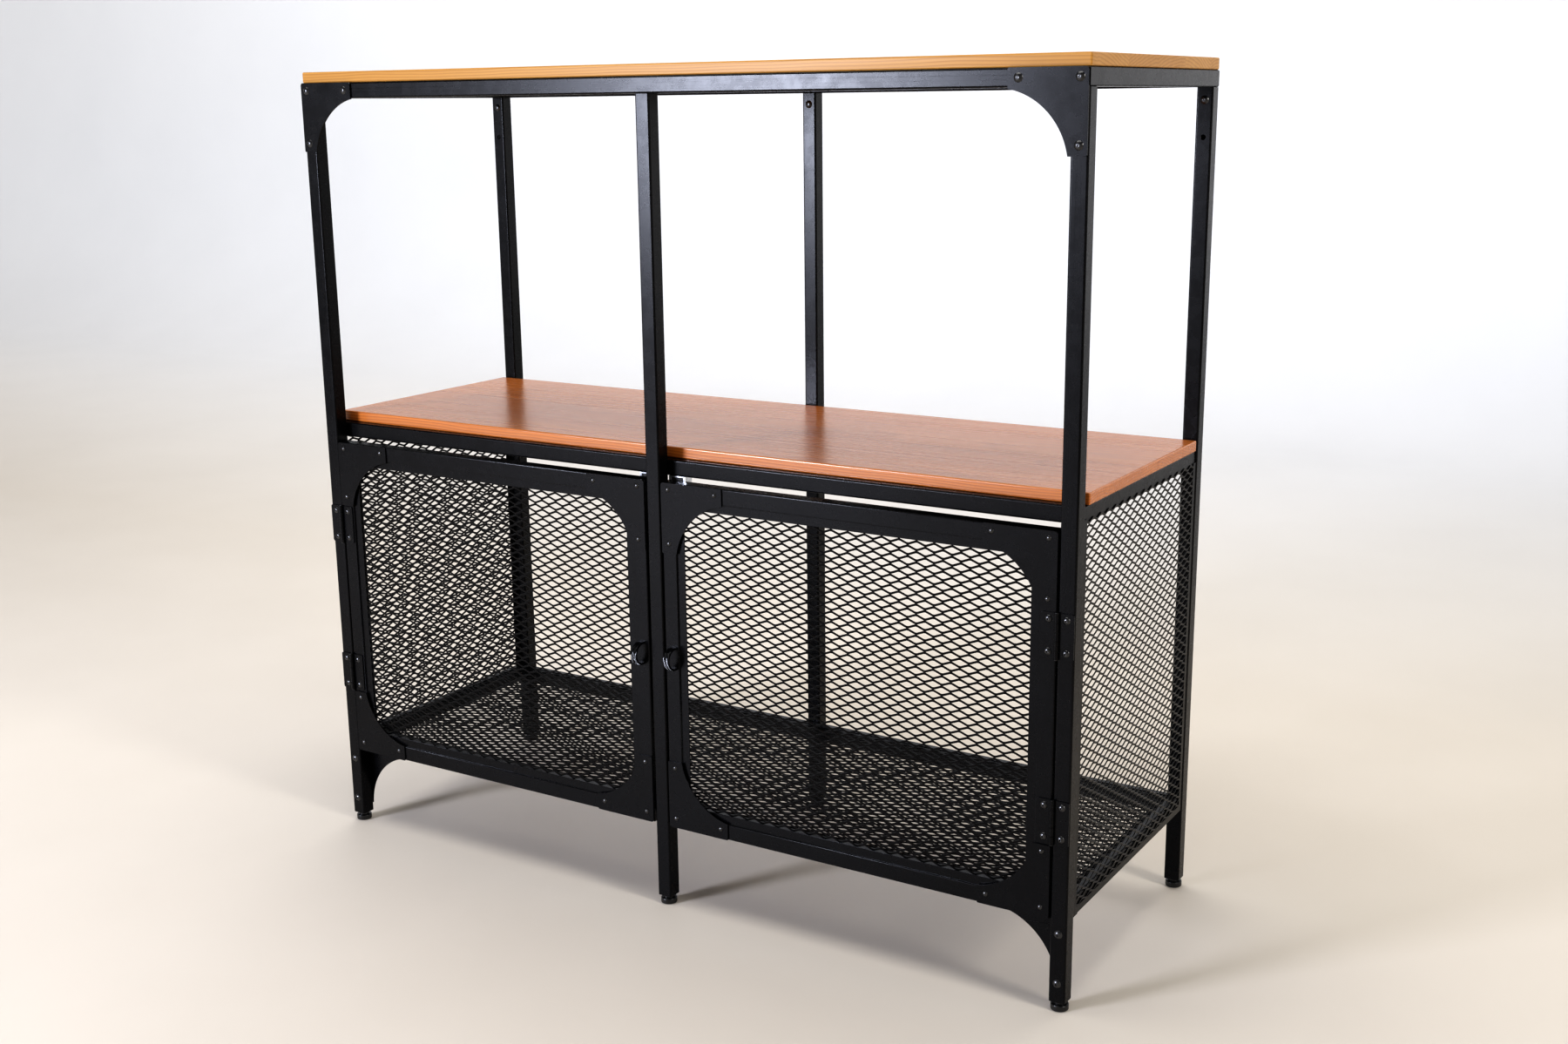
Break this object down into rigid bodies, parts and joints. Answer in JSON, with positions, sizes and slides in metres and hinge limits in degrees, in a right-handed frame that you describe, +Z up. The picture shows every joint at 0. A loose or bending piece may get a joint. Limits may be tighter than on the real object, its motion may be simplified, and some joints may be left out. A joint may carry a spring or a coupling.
{
  "type": "sideboard",
  "caption": "Tall console cabinet: square-tube steel frame, wooden top and shelf, expanded-metal sides and floor, two hinged mesh doors with bow handles, levelling feet",
  "frame": {"origin": "on the floor under the middle of the whole stand", "axes": "+X to the right as seen from the front, +Y to the back, +Z up; the doors are at -Y"},
  "size_m": [1.001, 0.3742, 0.95],
  "materials": {
    "black_steel": "satin black powder coat with a fine texture",
    "screw_black": "glossy black oxide",
    "handle_black": "satin black",
    "top_board_wood": "oiled light golden pine",
    "shelf_wood": "oiled brown pine with dark grain",
    "foot_plastic": "glossy black",
    "zinc": "bright zinc plated",
    "magnet": "dull dark"
  },
  "bodies": {
    "frame": {"post_front_left": "black_steel", "post_front_centre": "black_steel", "post_front_right": "black_steel", "post_back_left": "black_steel", "post_back_centre": "black_steel", "post_back_right": "black_steel", "top_rail_front": "black_steel", "top_rail_back": "black_steel", "top_rail_left": "black_steel", "top_rail_right": "black_steel", "shelf_rail_front": "black_steel", "shelf_rail_back": "black_steel", "shelf_rail_left": "black_steel", "shelf_rail_right": "black_steel", "floor_rail_front": "black_steel", "floor_rail_back": "black_steel", "floor_rail_left": "black_steel", "floor_rail_right": "black_steel", "top_board": "top_board_wood", "shelf_board": "shelf_wood", "floor_mesh": "black_steel", "side_mesh_left": "black_steel", "side_mesh_right": "black_steel", "corner_plate_left": "black_steel", "corner_plate_right": "black_steel", "corner_plate_screws": "screw_black", "leg_gusset_left": "black_steel", "leg_gusset_right": "black_steel", "leg_screws": "screw_black", "top_spigots": "black_steel", "spigot_screws": "screw_black", "foot_inserts": "foot_plastic", "catch_left": "zinc", "catch_right": "zinc", "catch_magnets": "magnet", "hinge_pins": "screw_black", "hinge_post_screws": "screw_black", "hinge_post_leaves_left": "black_steel", "hinge_post_leaves_right": "black_steel"},
    "level_foot_front_left": {"foot_front_left": "foot_plastic"},
    "level_foot_front_centre": {"foot_front_centre": "foot_plastic"},
    "level_foot_front_right": {"foot_front_right": "foot_plastic"},
    "level_foot_back_left": {"foot_back_left": "foot_plastic"},
    "level_foot_back_centre": {"foot_back_centre": "foot_plastic"},
    "level_foot_back_right": {"foot_back_right": "foot_plastic"},
    "door_left": {"door_frame_left": "black_steel", "door_mesh_left": "black_steel", "door_corner_plates_left": "black_steel", "door_rivets_left": "screw_black", "door_hinge_leaves_left": "black_steel", "door_hinge_screws_left": "screw_black", "door_handle_left": "handle_black"},
    "door_right": {"door_frame_right": "black_steel", "door_mesh_right": "black_steel", "door_corner_plates_right": "black_steel", "door_rivets_right": "screw_black", "door_hinge_leaves_right": "black_steel", "door_hinge_screws_right": "screw_black", "door_handle_right": "handle_black"}
  },
  "joints": [
    {"name": "door_left_hinge", "type": "hinge", "parent": "frame", "child": "door_left", "pos_m": [-0.482, -0.174, 0.3035], "axis": [0, 0, -1], "range_deg": [0, 160]},
    {"name": "door_right_hinge", "type": "hinge", "parent": "frame", "child": "door_right", "pos_m": [0.482, -0.174, 0.3035], "axis": [0, 0, 1], "range_deg": [0, 160]},
    {"name": "foot_front_left_height", "type": "slide", "parent": "frame", "child": "level_foot_front_left", "axis": [0, 0, 1], "range_m": [-0.008, 0]},
    {"name": "foot_front_centre_height", "type": "slide", "parent": "frame", "child": "level_foot_front_centre", "axis": [0, 0, 1], "range_m": [-0.008, 0]},
    {"name": "foot_front_right_height", "type": "slide", "parent": "frame", "child": "level_foot_front_right", "axis": [0, 0, 1], "range_m": [-0.008, 0]},
    {"name": "foot_back_left_height", "type": "slide", "parent": "frame", "child": "level_foot_back_left", "axis": [0, 0, 1], "range_m": [-0.008, 0]},
    {"name": "foot_back_centre_height", "type": "slide", "parent": "frame", "child": "level_foot_back_centre", "axis": [0, 0, 1], "range_m": [-0.008, 0]},
    {"name": "foot_back_right_height", "type": "slide", "parent": "frame", "child": "level_foot_back_right", "axis": [0, 0, 1], "range_m": [-0.008, 0]}
  ]
}
